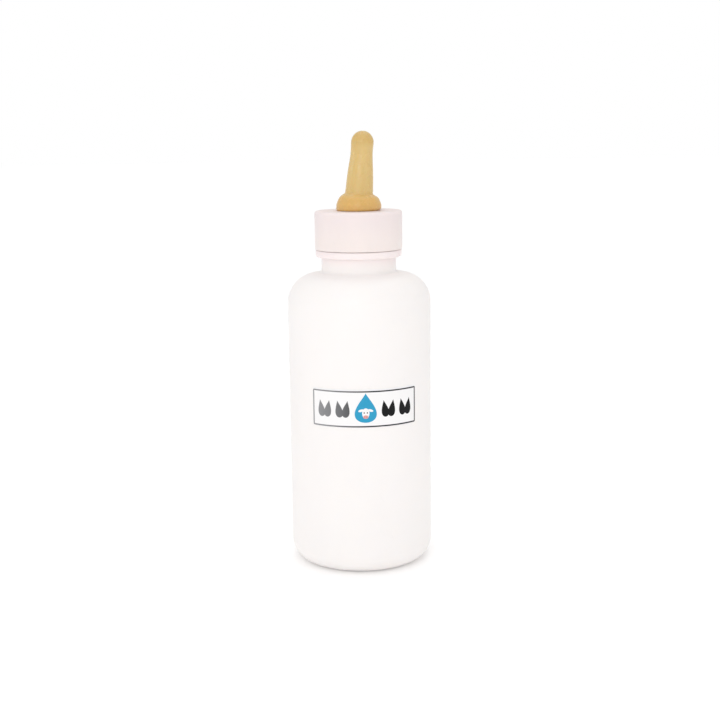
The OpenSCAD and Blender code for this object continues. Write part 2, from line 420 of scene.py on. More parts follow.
class Effects:
    """The shader node groups that several finishes share."""

    def __init__(self) -> None:
        """Builds every group once."""
        self.mottle = self._mottle()
        self.grain = self._grain()
        self.scuffs = self._scuffs()
        self.bar = self._bar()
        self.oval = self._oval()
        self.drop = self._drop()

    @staticmethod
    def _mottle() -> bpy.types.NodeTree:
        """Builds the soft cloudy drift of a colour towards a second one, as in plastic or latex.

        Returns:
            The group.
        """
        inputs = {
            "Vector": Socket.VECTOR,
            "Colour": Socket.COLOUR,
            "Drift": Socket.COLOUR,
            "Scale": Socket.FLOAT,
            "Amount": Socket.FLOAT,
        }
        group = GroupShader("soft_mottle", inputs, ("Colour", Socket.COLOUR))
        given = group.given
        cloud = group.noise(given["Vector"], given["Scale"], 3.0, Roughness=0.55)
        share = group.math("MULTIPLY", group.spread(cloud), given["Amount"])
        return group.finish(group.mix(share, given["Colour"], given["Drift"]))

    @staticmethod
    def _grain() -> bpy.types.NodeTree:
        """Builds the height of a moulded skin: broad orange peel with a fine grain on it.

        Returns:
            The group.
        """
        inputs = {
            "Vector": Socket.VECTOR,
            "Broad Scale": Socket.FLOAT,
            "Fine Scale": Socket.FLOAT,
            "Fine Share": Socket.FLOAT,
        }
        group = GroupShader("skin_grain", inputs, ("Height", Socket.FLOAT))
        given = group.given
        broad = group.noise(given["Vector"], given["Broad Scale"])
        fine = group.noise(given["Vector"], given["Fine Scale"], 4.0)
        return group.finish(group.math("ADD", broad, group.math("MULTIPLY", fine, given["Fine Share"])))

    @staticmethod
    def _scuffs() -> bpy.types.NodeTree:
        """Builds the mask of faint rubbed patches with short fine scratches in them.

        Returns:
            The group.
        """
        slant = 0.6
        length_share = 0.06
        patch_haze = 0.25
        inputs = {"Vector": Socket.VECTOR, "Patch Scale": Socket.FLOAT, "Scratch Scale": Socket.FLOAT}
        group = GroupShader("handling_scuffs", inputs, ("Mask", Socket.FLOAT))
        given = group.given
        patch = group.noise(given["Vector"], given["Patch Scale"], 4.0)
        slanted = group.turned(given["Vector"], slant, "Y_AXIS")
        stretched = group.vector("MULTIPLY", slanted, (1.0, 1.0, length_share))
        scratch = group.noise(stretched, given["Scratch Scale"], Distortion=0.4)
        patches = group.ramp(patch, 0.52, 0.68)
        scratches = group.ramp(scratch, 0.62, 0.68)
        return group.finish(group.math("MULTIPLY", patches, group.math("ADD", scratches, patch_haze)))

    @staticmethod
    def _edge(group: GroupShader, inside: bpy.types.NodeSocket) -> bpy.types.NodeTree:
        """Finishes a printed shape from a distance in millimetres that is above 0 inside it."""
        soft = 0.06
        return group.finish(group.ramp(inside, -soft, soft))

    @staticmethod
    def _shape(name: str) -> tuple[GroupShader, bpy.types.NodeSocket]:
        """Starts the group of a printed shape.

        Args:
            name: The group's name.

        Returns:
            The group, and the place on the film measured from the shape's turned centre.
        """
        inputs = {
            "Vector": Socket.VECTOR,
            "Centre": Socket.VECTOR,
            "Half Size": Socket.VECTOR,
            "Turn": Socket.FLOAT,
            "Corner": Socket.FLOAT,
        }
        group = GroupShader(name, inputs, ("Mask", Socket.FLOAT))
        offset = group.vector("SUBTRACT", group.given["Vector"], group.given["Centre"])
        return group, group.turned(offset, group.given["Turn"], "Z_AXIS")

    @classmethod
    def _bar(cls) -> bpy.types.NodeTree:
        """Builds the mask of a bar with round corners.

        Returns:
            The group.
        """
        group, place = cls._shape("print_bar")
        corner = group.given["Corner"]
        both_ways = group.add("ShaderNodeCombineXYZ", {0: corner, 1: corner}).outputs[0]
        reach = group.vector("SUBTRACT", group.vector("ABSOLUTE", place), group.given["Half Size"])
        clipped = group.vector("MAXIMUM", group.vector("ADD", reach, both_ways), (0.0, 0.0, 0.0))
        outside = group.length(group.vector("MULTIPLY", clipped, FLAT))
        return cls._edge(group, group.math("SUBTRACT", corner, outside))

    @classmethod
    def _oval(cls) -> bpy.types.NodeTree:
        """Builds the mask of an oval.

        Returns:
            The group.
        """
        group, place = cls._shape("print_oval")
        half = group.given["Half Size"]
        length = group.length(group.vector("MULTIPLY", group.vector("DIVIDE", place, half), FLAT))
        inside = group.math("MULTIPLY", group.math("SUBTRACT", 1.0, length), group.parts(half)[1])
        return cls._edge(group, inside)

    @classmethod
    def _drop(cls) -> bpy.types.NodeTree:
        """Builds the mask of a milk drop, point up, whose half width follows the teardrop curve.

        Returns:
            The group.
        """
        widest = 0.7  # the curve's own greatest value
        point = 0.75  # the power that draws the top out to a point
        group, place = cls._shape("print_drop")
        half = group.parts(group.given["Half Size"])
        at = group.parts(place)
        height = group.math("DIVIDE", at[1], half[1])
        held = group.add("ShaderNodeClamp", {"Value": height, "Min": -1.0, "Max": 1.0}).outputs[0]
        round_part = group.math("SQRT", group.math("SUBTRACT", 1.0, group.math("MULTIPLY", held, held)))
        below_tip = group.math("MULTIPLY", group.math("SUBTRACT", 1.0, held), 0.5)
        curve = group.math("MULTIPLY", round_part, group.math("POWER", below_tip, point))
        width = group.math("MULTIPLY", group.math("DIVIDE", curve, widest), half[0])
        beside = group.math("SUBTRACT", width, group.math("ABSOLUTE", at[0]))
        within = group.math("SUBTRACT", 1.0, group.math("ABSOLUTE", height))
        beyond = group.math("MULTIPLY", within, half[1])
        return cls._edge(group, group.math("MINIMUM", beside, beyond))


@dataclass(frozen=True)
class Skin:
    """The fine relief of a surface: noise scales, the fine grain's share, strength and depth in metres."""

    broad_scale: float
    fine_scale: float
    fine_share: float
    strength: float
    depth: float

    def normal(self, shader: Shader, effects: Effects, place: bpy.types.NodeSocket) -> bpy.types.NodeSocket:
        """Adds the relief to a material.

        Args:
            shader: The material's shader.
            effects: The shared node groups.
            place: The coordinates that the grain follows.

        Returns:
            The normal's socket.
        """
        inputs = {
            "Vector": place,
            "Broad Scale": self.broad_scale,
            "Fine Scale": self.fine_scale,
            "Fine Share": self.fine_share,
        }
        height = shader.place(effects.grain, inputs)
        bump = {"Height": height, "Strength": self.strength, "Distance": self.depth}
        return shader.add("ShaderNodeBump", bump).outputs[0]


@dataclass(frozen=True)
class Mottle:
    """The cloudy drift of a surface's colour towards a second one."""

    drift: Colour
    scale: float
    amount: float

    def over(self, shader: Shader, effects: Effects, place: Any, colour: Any) -> bpy.types.NodeSocket:
        """Adds the drift to a material.

        Args:
            shader: The material's shader.
            effects: The shared node groups.
            place: The coordinates that the clouds follow.
            colour: The colour that drifts, or its socket.

        Returns:
            The colour's socket.
        """
        inputs = {
            "Vector": place,
            "Colour": colour,
            "Drift": opaque(self.drift),
            "Scale": self.scale,
            "Amount": self.amount,
        }
        return shader.place(effects.mottle, inputs)


@dataclass(frozen=True)
class Plastic:
    """A moulded, slightly milky plastic, rubbed by handling."""

    name: str
    colour: Colour
    drift: Colour
    # The colour that the upper part blends to: on the bottle partly a pinker tone of the thicker neck and
    # partly painted shade on the bead and neck; on the cap the colour darkens towards its top.
    upper_tone_and_shade: Colour
    tone_shade_low: float
    tone_shade_high: float
    roughness: float
    milkiness: float = 0.3
    milk_reach: Colour = (1.0, 0.9, 0.8)
    milk_depth: float = 0.003
    index: float = 1.5
    cloud_scale: float = 26.0
    cloud_amount: float = 0.5
    patch_scale: float = 34.0
    scratch_scale: float = 900.0
    rubbed: Colour = (0.55, 0.54, 0.53)
    rubbed_share: float = 0.05
    rubbed_roughness: float = 0.16
    sheen_scale: float = 60.0
    sheen_swing: float = 0.03
    skin: Skin = Skin(260.0, 2600.0, 0.25, 0.12, 0.0002)

    def build(self, effects: Effects) -> bpy.types.Material:
        """Makes the material.

        Args:
            effects: The shared node groups.

        Returns:
            The finished material.
        """
        shader = MaterialShader(self.name)
        place = shader.add("ShaderNodeTexCoord").outputs["Object"]
        # Blends the upper part to its upper colour, which on the bottle is partly painted shade.
        tone_shade_share = shader.ramp(shader.parts(place)[2], self.tone_shade_low * MM, self.tone_shade_high * MM)
        base = shader.mix(tone_shade_share, self.colour, self.upper_tone_and_shade)
        mottle = Mottle(self.drift, self.cloud_scale, self.cloud_amount)
        clouded = mottle.over(shader, effects, place, base)
        marks = {"Vector": place, "Patch Scale": self.patch_scale, "Scratch Scale": self.scratch_scale}
        scuffs = shader.place(effects.scuffs, marks)
        dulled = shader.mix(shader.math("MULTIPLY", scuffs, self.rubbed_share), clouded, self.rubbed)
        low = self.roughness - self.sheen_swing
        high = self.roughness + self.sheen_swing
        even = shader.spread(shader.noise(place, self.sheen_scale), low, high)
        roughness = shader.math("ADD", even, shader.math("MULTIPLY", scuffs, self.rubbed_roughness))
        return shader.finish(
            {
                "Base Color": dulled,
                "Roughness": roughness,
                "Normal": self.skin.normal(shader, effects, place),
                "IOR": self.index,
                "Subsurface Weight": self.milkiness,
                "Subsurface Radius": self.milk_reach,
                "Subsurface Scale": self.milk_depth,
            }
        )


@dataclass(frozen=True)
class Latex:
    """Dipped natural latex: amber and a little see-through, its dome a deeper orange than its shaft, its
    tip darkened with painted shade.
    """

    name: str = "amber_latex"
    shaft: Colour = (0.69, 0.495, 0.2)
    dome: Colour = (0.715, 0.44, 0.14)
    # Painted shade: the tip's darker colour stands for the dark rim where the end of the teat turns away
    # from the front light.
    tip_shade_colour: Colour = (0.635, 0.435, 0.155)
    fleck: Colour = (0.45, 0.27, 0.08)
    dome_top: float = 228.9
    tip_shade_low: float = 256.0
    blend: float = 2.5
    glow_share: float = 0.25
    glow_reach: Colour = (1.0, 0.6, 0.25)
    glow_depth: float = 0.003
    index: float = 1.45
    drip: float = 0.22
    mottle: Mottle = Mottle((0.62, 0.42, 0.15), 190.0, 0.35)
    fleck_scale: float = 520.0
    fleck_core: float = 0.06
    fleck_rim: float = 0.12
    fleck_share: float = 0.35
    bloom_scale: float = 150.0
    smoothest: float = 0.18
    roughest: float = 0.34
    skin: Skin = Skin(330.0, 2400.0, 0.2, 0.2, 0.00025)

    def build(self, effects: Effects) -> bpy.types.Material:
        """Makes the material.

        Args:
            effects: The shared node groups.

        Returns:
            The finished material.
        """
        shader = MaterialShader(self.name)
        place = shader.add("ShaderNodeTexCoord").outputs["Object"]
        height = shader.parts(place)[2]
        above = shader.ramp(height, (self.dome_top - self.blend) * MM, (self.dome_top + self.blend) * MM)
        # Painted shade darkens the tip.
        tip_shade_share = shader.ramp(height, self.tip_shade_low * MM, (self.tip_shade_low + 2.0 * self.blend) * MM)
        base = shader.mix(tip_shade_share, shader.mix(above, self.dome, self.shaft), self.tip_shade_colour)
        drips = shader.vector("MULTIPLY", place, (1.0, 1.0, self.drip))
        clouded = self.mottle.over(shader, effects, drips, base)
        cells = shader.add("ShaderNodeTexVoronoi", {"Vector": place, "Scale": self.fleck_scale})
        flecks = shader.ramp(cells.outputs["Distance"], self.fleck_core, self.fleck_rim, 1.0, 0.0)
        speckled = shader.mix(shader.math("MULTIPLY", flecks, self.fleck_share), clouded, self.fleck)
        bloom = shader.noise(place, self.bloom_scale, 3.0)
        return shader.finish(
            {
                "Base Color": speckled,
                "Roughness": shader.spread(bloom, self.smoothest, self.roughest),
                "Normal": self.skin.normal(shader, effects, drips),
                "IOR": self.index,
                "Subsurface Weight": self.glow_share,
                "Subsurface Radius": self.glow_reach,
                "Subsurface Scale": self.glow_depth,
            }
        )


class Shape(Enum):
    """The shapes that the label is printed with."""

    BAR = "bar"
    OVAL = "oval"
    DROP = "drop"


class Ink(Enum):
    """The label's inks, as linear colours."""

    BLACK = (0.003, 0.003, 0.004)
    LINE = (0.02, 0.02, 0.024)
    BLUE = (0.03, 0.33, 0.55)
    PAPER = (0.895, 0.88, 0.88)
    PINK = (0.78, 0.36, 0.34)


@dataclass(frozen=True)
class Print:
    """One printed shape, in millimetres from the middle of the film, turned by degrees."""

    shape: Shape
    ink: Ink
    x: float
    y: float
    half_w: float
    half_h: float
    turn: float = 0.0
    corner: float = 0.4


@dataclass(frozen=True)
class Film:
    """A thin white film with a plain framed motif: a calf's head in a milk drop between hoofprints."""

    width: float
    height: float
    name: str = "printed_film"
    ground: Colour = (0.875, 0.865, 0.865)
    frame_inset: float = 0.1
    frame_drop: float = 0.4
    frame_line: float = 0.85
    frame_corner: float = 0.8
    hoof_places: tuple[float, ...] = (-25.5, -14.0, 14.0, 25.5)
    toe_offset: float = 2.35
    toe_lean: float = 9.0
    # Painted reflection: the black and line inks turn grey towards the label's left, as glare from the left
    # softbox lying over the print.
    glare_grey: Colour = (0.27, 0.27, 0.28)
    glare_full_at: float = -0.5
    glare_gone_at: float = 0.1
    mottle: Mottle = Mottle((0.86, 0.85, 0.85), 90.0, 0.4)
    gloss: float = 0.2
    index: float = 1.5
    dot_scale: float = 700.0
    smoothest: float = 0.3
    roughest: float = 0.38
    ink_roughness: float = 0.1
    skin: Skin = Skin(500.0, 4000.0, 0.5, 0.06, 0.0001)

    def hoofprint(self, x: float) -> list[Print]:
        """Lists the two toes of a calf's hoofprint.

        Args:
            x: The place that it stands at.

        Returns:
            The toes.
        """
        toes = []
        for side in (-1.0, 1.0):
            toe_x = x + side * self.toe_offset
            toes.append(Print(Shape.DROP, Ink.BLACK, toe_x, -0.4, 2.3, 5.2, turn=side * self.toe_lean))
        return toes

    def calf_head(self) -> list[Print]:
        """Lists the shapes of the calf's head, which sits low in the milk drop.

        Returns:
            The face, ears and eyes, then the muzzle and nostrils.
        """
        shapes = [Print(Shape.OVAL, Ink.PAPER, 0.0, -2.9, 2.2, 3.1)]
        for side in (-1.0, 1.0):
            shapes.append(Print(Shape.OVAL, Ink.PAPER, side * 2.8, -1.2, 1.7, 0.75, turn=side * 16.0))
            shapes.append(Print(Shape.OVAL, Ink.BLACK, side * 0.95, -2.6, 0.38, 0.45))
        shapes.append(Print(Shape.OVAL, Ink.PINK, 0.0, -5.1, 1.6, 1.05))
        for side in (-1.0, 1.0):
            shapes.append(Print(Shape.OVAL, Ink.BLACK, side * 0.6, -5.1, 0.22, 0.25))
        return shapes

    def prints(self) -> list[Print]:
        """Lists the printed shapes, each laid over the ones before it.

        Returns:
            The frame, the milk drop, the calf's head and the hoofprints.
        """
        half_w = self.width / 2 - self.frame_inset
        half_h = self.height / 2 - self.frame_inset - self.frame_drop
        low = -self.frame_drop
        line = self.frame_line
        inner = max(0.1, self.frame_corner - line)
        shapes = [
            Print(Shape.BAR, Ink.LINE, 0.0, low, half_w, half_h, corner=self.frame_corner),
            Print(Shape.BAR, Ink.PAPER, 0.0, low, half_w - line, half_h - line, corner=inner),
            Print(Shape.DROP, Ink.BLUE, 0.0, 0.4, 6.6, 9.0),
        ]
        shapes += self.calf_head()
        for x in self.hoof_places:
            shapes += self.hoofprint(x)
        return shapes

    def build(self, effects: Effects) -> bpy.types.Material:
        """Makes the material, which reads the film's own UV map.

        Args:
            effects: The shared node groups.

        Returns:
            The finished material.
        """
        shader = MaterialShader(self.name)
        coordinates = shader.add("ShaderNodeTexCoord").outputs
        around = coordinates["Object"]
        centred = shader.vector("SUBTRACT", coordinates["UV"], (0.5, 0.5, 0.0))
        place = shader.vector("MULTIPLY", centred, (self.width, self.height, 0.0))
        groups = {Shape.BAR: effects.bar, Shape.OVAL: effects.oval, Shape.DROP: effects.drop}
        colour = self.mottle.over(shader, effects, around, opaque(self.ground))
        # Painted glare greys the black and line inks on the left part of the label.
        across = shader.parts(place)[0]
        clear_of_glare = shader.ramp(across, self.glare_full_at * self.width, self.glare_gone_at * self.width)
        glared_inks = {ink: shader.mix(clear_of_glare, self.glare_grey, ink.value) for ink in (Ink.BLACK, Ink.LINE)}
        inked: Any = 0.0
        for item in self.prints():
            inputs = {
                "Vector": place,
                "Centre": (item.x, item.y, 0.0),
                "Half Size": (item.half_w, item.half_h, 1.0),
                "Turn": math.radians(item.turn),
                "Corner": item.corner,
            }
            mask = shader.place(groups[item.shape], inputs)
            colour = shader.mix(mask, colour, glared_inks.get(item.ink, item.ink.value))
            if item.ink is not Ink.PAPER:
                inked = shader.math("MAXIMUM", inked, mask)
        dots = shader.spread(shader.noise(around, self.dot_scale), self.smoothest, self.roughest)
        return shader.finish(
            {
                "Base Color": colour,
                "Roughness": shader.math("ADD", dots, shader.math("MULTIPLY", inked, self.ink_roughness)),
                "Normal": self.skin.normal(shader, effects, around),
                "IOR": self.index,
                "Specular IOR Level": self.gloss,
            }
        )


# ---------------------------------------------------------------- the pieces


@dataclass(frozen=True)
class Thread:
    """A single right-hand ridge that winds up a wall and dies away at both ends."""

    start_z: float
    depth: float
    pitch: float = 5.0
    turns: float = 1.5
    foot: float = 2.3
    crest: float = 0.7
    run_out: float = 32.0

    def height_at(self, angle: float, z: float) -> float:
        """Gives the ridge's height over its wall.

        Args:
            angle: The place round the axis, in degrees from 0 to 360.
            z: The height of the place.

        Returns:
            The height, in millimetres.
        """
        total = 360.0 * self.turns
        best = 0.0
        for wound in range(math.ceil(self.turns)):
            along = angle + 360.0 * wound
            if along > total:
                continue
            off = abs(z - self.start_z - self.pitch * along / 360.0)
            flank = smooth_step((self.foot / 2 - off) / (self.foot / 2 - self.crest / 2))
            fade = smooth_step(min(along, total - along) / self.run_out)
            best = max(best, self.depth * flank * fade)
        return best


def angle_of(place: Vector) -> float:
    """Gives a place's angle round the Z axis, in degrees from 0 to 360."""
    return math.degrees(math.atan2(place.y, place.x)) % 360.0


def push_out(place: Vector, distance: float) -> Vector:
    """Moves a place straight away from the Z axis.

    Args:
        place: The place.
        distance: How far it moves, towards the axis where it is below 0.

    Returns:
        The new place.
    """
    radius = math.hypot(place.x, place.y)
    if radius == 0.0:
        return place
    share = (radius + distance) / radius
    return Vector((place.x * share, place.y * share, place.z))


@dataclass
class Bottle:
    """The blown bottle, one closed shell with its thread, bead, mould seams and hollow base."""

    radius: float
    rim_z: float
    side_top: float = 163.6
    base_corner: float = 11.6
    shoulder: float = 17.0
    slope: float = 8.0
    wall: float = 1.6
    push_up: float = 3.0
    push_up_radius: float = 28.0
    dish_share: float = 0.55
    dish_rise: float = 0.92
    dish_round: float = 60.0
    neck_radius: float = 22.9
    bore_radius: float = 20.5
    neck_height: float = 9.4
    neck_fillet: float = 2.0
    bead_radius: float = 26.4
    bead_height: float = 4.5
    bead_round: float = 1.5
    bead_lip: float = 0.6
    thread_z: float = 204.24
    thread_depth: float = 1.5
    seam_height: float = 0.1
    seam_width: float = 0.35
    seam_low: float = 3.48
    seam_gap: float = 4.0
    seam_step: float = 0.25
    side_edge: float = 5.0

    def slope_at(self, depth: float, x: float) -> float:
        """Gives the height of the shoulder's slope.

        Args:
            depth: The depth inside the outer surface.
            x: The distance from the axis.

        Returns:
            The height.
        """
        lean = math.radians(self.slope)
        start_x = self.radius - self.shoulder + (self.shoulder - depth) * math.sin(lean)
        start_z = self.side_top + (self.shoulder - depth) * math.cos(lean)
        return start_z + (start_x - x) * math.tan(lean)

    def outline(self) -> list[Corner]:
        """Lists the shell's corners.

        Returns:
            The corners from the axis under the base, over the rim, to the axis inside.
        """
        bead_low = self.slope_at(0.0, self.neck_radius) + self.neck_height
        bead_top = bead_low + self.bead_height
        inner = self.radius - self.wall
        dish = self.push_up_radius * self.dish_share
        dish_z = self.push_up * self.dish_rise
        return [
            Corner(0.0, self.push_up),
            Corner(dish, dish_z, self.dish_round, 10),
            Corner(self.push_up_radius, 0.0, 1.2, 4),
            Corner(self.radius, 0.0, self.base_corner, 16),
            Corner(self.radius, self.slope_at(0.0, self.radius), self.shoulder, 22),
            Corner(self.neck_radius, self.slope_at(0.0, self.neck_radius), self.neck_fillet, 8),
            Corner(self.neck_radius, bead_low, 0.5, 3),
            Corner(self.bead_radius, bead_low, self.bead_round, 6),
            Corner(self.bead_radius, bead_top, self.bead_lip, 5),
            Corner(self.neck_radius, bead_top, 0.5, 3),
            Corner(self.neck_radius, self.rim_z, 0.6, 4),
            Corner(self.bore_radius, self.rim_z, 0.6, 4),
            Corner(self.bore_radius, self.slope_at(self.wall, self.bore_radius), 3.0, 6),
            Corner(inner, self.slope_at(self.wall, inner), self.shoulder - self.wall, 16),
            Corner(inner, self.wall, self.base_corner - self.wall, 12),
            Corner(self.push_up_radius, self.wall + 0.1, 4.0, 4),
            Corner(dish, dish_z + self.wall, self.dish_round, 10),
            Corner(0.0, self.push_up + self.wall),
        ]

    def seam_share(self, place: Vector) -> float:
        """Says how much of the mould seam's height a place on the outer surface has."""
        return smooth_step(1.0 - abs(place.y) / self.seam_width)

    def shell(self) -> bmesh.types.BMesh:
        """Turns the outline and raises the thread and the two mould seams.

        Returns:
            The closed shell.
        """
        section = Section(self.outline(), closed=False)
        bead_top = self.slope_at(0.0, self.neck_radius) + self.neck_height + self.bead_height
        section.refine(self.neck_radius, bead_top, self.rim_z, THREAD_EDGE)
        section.refine(self.radius, self.base_corner, self.side_top, self.side_edge)
        step = Arc(self.seam_step, 1)
        half_turn = [step, step, Arc(180.0 - 4.0 * self.seam_step, 84), step, step]
        mesh = section.turn(half_turn + half_turn)
        thread = Thread(self.thread_z, self.thread_depth)
        thread_low = self.thread_z - thread.foot
        thread_top = self.thread_z + thread.pitch * thread.turns + thread.foot

        def move(place: Vector) -> Vector:
            """Gives one vertex its share of thread and seam.

            Args:
                place: The vertex's place.

            Returns:
                Its new place.
            """
            radius = math.hypot(place.x, place.y)
            if radius < self.bore_radius + 0.7:
                return place
            on_neck = abs(radius - self.neck_radius) < TOUCHING
            if on_neck and thread_low < place.z < thread_top:
                return push_out(place, thread.height_at(angle_of(place), place.z))
            outer = self.wall_depth(place) < 0.2
            if outer and self.seam_low < place.z < thread_low - self.seam_gap:
                return push_out(place, self.seam_height * self.seam_share(place))
            return place

        reshape(mesh, move)
        return mesh

    def wall_depth(self, place: Vector) -> float:
        """Says how far a place lies inside the outer surface, below the bead.

        Args:
            place: The place.

        Returns:
            The distance, measured level.
        """
        radius = math.hypot(place.x, place.y)
        if place.z < self.base_corner:
            drop = self.base_corner - place.z
            across = math.sqrt(max(0.0, self.base_corner**2 - drop**2))
            return self.radius - self.base_corner + across - radius
        if place.z <= self.side_top:
            return self.radius - radius
        rise = min(place.z - self.side_top, self.shoulder)
        across = math.sqrt(max(0.0, self.shoulder**2 - rise**2))
        if rise < self.shoulder * math.cos(math.radians(self.slope)):
            return self.radius - self.shoulder + across - radius
        return abs(radius - self.neck_radius)

    def build(self, finish: bpy.types.Material) -> None:
        """Builds the piece and puts it in its place."""
        settle(make_piece("bottle_shell", self.shell(), finish), Body.BOTTLE, "bottle")


@dataclass
class ScrewCap:
    """The screw cap: a smooth ring with a plate, a hole for the teat and a thread inside."""

    radius: float
    low_z: float
    top_z: float
    bore_radius: float = 25.05
    plate: float = 2.0
    edge: float = 1.6
    skirt: float = 0.55
    hole_radius: float = 12.0
    thread_z: float = 202.44
    thread_depth: float = 1.55
    side_edge: float = 2.5

    def outline(self) -> list[Corner]:
        """Lists the ring's corners.

        Returns:
            The corners, all the way round.
        """
        under_plate = self.top_z - self.plate
        foot_z = self.low_z - self.skirt
        return [
            Corner(self.hole_radius, under_plate, 0.25, 3),
            Corner(self.hole_radius, self.top_z, 0.35, 3),
            Corner(self.radius, self.top_z, self.edge, 10),
            Corner(self.radius, foot_z, 0.35, 4),
            Corner(self.bore_radius + 0.5, foot_z, 0.3, 3),
            Corner(self.bore_radius, foot_z + 0.9, 0.5, 3),
            Corner(self.bore_radius, under_plate, 0.7, 4),
        ]

    def ring(self) -> bmesh.types.BMesh:
        """Turns the outline and raises the thread inside it.

        Returns:
            The closed ring.
        """
        section = Section(self.outline(), closed=True)
        section.refine(self.bore_radius, self.low_z, self.top_z, THREAD_EDGE)
        section.refine(self.radius, self.low_z - self.skirt, self.top_z, self.side_edge)
        mesh = section.turn([Arc(360.0, 168)])
        thread = Thread(self.thread_z, self.thread_depth)

        def move(place: Vector) -> Vector:
            """Gives one vertex of the inner wall its share of the thread.

            Args:
                place: The vertex's place.

            Returns:
                Its new place.
            """
            radius = math.hypot(place.x, place.y)
            if abs(radius - self.bore_radius) > TOUCHING:
                return place
            return push_out(place, -thread.height_at(angle_of(place), place.z))

        reshape(mesh, move)
        return mesh

    def build(self, finish: bpy.types.Material) -> None:
        """Builds the piece and puts it in its place."""
        settle(make_piece("screw_cap_ring", self.ring(), finish), Body.CAP, "screw_cap")


@dataclass
class Teat:
    """The hollow latex teat: clamped flange, groove, dome and a tapering shaft that leans to +X."""

    rim_z: float
    plate_z: float
    cap_top: float
    flange_radius: float = 22.0
    groove_radius: float = 11.7
    dome_foot_radius: float = 13.95
    dome_foot_round: float = 1.6
    belt_radius: float = 13.75
    belt_height: float = 3.8
    shoulder_radius: float = 12.0
    shoulder_height: float = 8.0
    dome_height: float = 10.2
    dome_round: float = 5.0
    root_radius: float = 8.55
    middle_radius: float = 8.0
    middle_share: float = 0.4
    middle_round: float = 110.0
    waist_radius: float = 6.6
    waist_share: float = 0.82
    waist_round: float = 40.0
    tip_radius: float = 6.85
    tip_flare: float = 1.5
    shaft_length: float = 34.2
    latex: float = 2.1
    milk_hole: float = 0.75
    hole_edge: float = 0.25
    lean: float = 4.4
    lean_rise: float = 7.0
    lean_blend: float = 6.0
    offset: float = 0.4
    offset_blend: float = 2.0
    seat: float = 0.02
    long_edge: float = 2.0
    cut_edge: float = 1.2

    def outline(self) -> list[Corner]:
        """Lists the wall's corners while the teat stands straight.

        Returns:
            The corners, up the outside and down the inside.
        """
        dome_top = self.cap_top + self.dome_height
        belt_z = self.cap_top + self.belt_height
        shoulder_z = self.cap_top + self.shoulder_height
        pivot_z = self.cap_top + self.lean_rise
        middle_z = pivot_z + self.middle_share * self.shaft_length
        waist_z = pivot_z + self.waist_share * self.shaft_length
        tip_centre = pivot_z + self.shaft_length
        tip_turn = math.acos((self.milk_hole + self.hole_edge) / self.tip_radius)
        tip_end = tip_centre + self.tip_radius * math.sin(tip_turn)
        tip_corner = tip_centre + self.tip_radius * math.tan(tip_turn / 2)
        seat_z = self.cap_top - self.seat
        wall = self.latex
        hollow_top = tip_centre + self.tip_radius - wall
        return [
            Corner(self.groove_radius - wall, self.rim_z, 0.4, 3),
            Corner(self.flange_radius, self.rim_z, 0.5, 4),
            Corner(self.flange_radius, self.plate_z, 0.5, 4),
            Corner(self.groove_radius, self.plate_z, 0.2, 3),
            Corner(self.groove_radius, seat_z, 0.3, 3),
            Corner(self.dome_foot_radius, seat_z, self.dome_foot_round, 8),
            Corner(self.belt_radius, belt_z, self.dome_round, 8),
            Corner(self.shoulder_radius, shoulder_z, self.dome_round, 8),
            Corner(self.root_radius, dome_top, 1.0, 8),
            Corner(self.middle_radius, middle_z, self.middle_round, 6),
            Corner(self.waist_radius, waist_z, self.waist_round, 8),
            Corner(self.tip_radius, tip_centre - self.tip_flare, 20.0, 4),
            Corner(self.tip_radius, tip_corner, self.tip_radius, 22),
            Corner(self.milk_hole + self.hole_edge, tip_end),
            Corner(self.milk_hole, tip_end - self.hole_edge),
            Corner(self.milk_hole, hollow_top, 0.25, 3),
            Corner(self.tip_radius - wall, hollow_top, 3.6, 8),
            Corner(self.waist_radius - wall, waist_z, 20.0, 4),
            Corner(self.middle_radius - wall, middle_z, 40.0, 4),
            Corner(self.root_radius - wall, dome_top - wall / 2, 1.2, 4),
            Corner(self.shoulder_radius - wall, shoulder_z - wall / 2, self.dome_round - wall, 6),
            Corner(self.belt_radius - wall, belt_z, self.dome_round - wall, 6),
            Corner(self.belt_radius - wall, self.cap_top + wall, 0.8, 3),
            Corner(self.groove_radius - wall, self.cap_top, 0.8, 3),
        ]

    def leaned(self, place: Vector) -> Vector:
        """Turns a place of the straight teat about its leaning point, and sets it a little to the side.

        Args:
            place: The place.

        Returns:
            Its new place.
        """
        pivot = Vector((0.0, 0.0, self.cap_top + self.lean_rise))
        share = smooth_step((place.z - pivot.z + 1.0) / self.lean_blend)
        turned = Matrix.Rotation(math.radians(self.lean) * share, 3, "Y")
        moved = smooth_step((place.z - self.cap_top) / self.offset_blend)
        aside = Vector((self.offset * moved, 0.0, 0.0))
        return turned @ (place - pivot) + pivot + aside

    def body(self) -> bmesh.types.BMesh:
        """Turns the outline and leans the shaft.

        Returns:
            The closed wall.
        """
        section = Section(self.outline(), closed=True)
        for edge in list(section.mesh.edges):
            long = edge.calc_length() / MM > self.long_edge
            if long and min(vert.co.z for vert in edge.verts) / MM > self.cap_top:
                section.cut(edge, self.cut_edge)
        mesh = section.turn([Arc(360.0, 144)])
        reshape(mesh, self.leaned)
        return mesh

    def build(self, finish: bpy.types.Material) -> None:
        """Builds the piece and puts it in its place."""
        settle(make_piece("latex_teat", self.body(), finish), Body.TEAT, "teat")


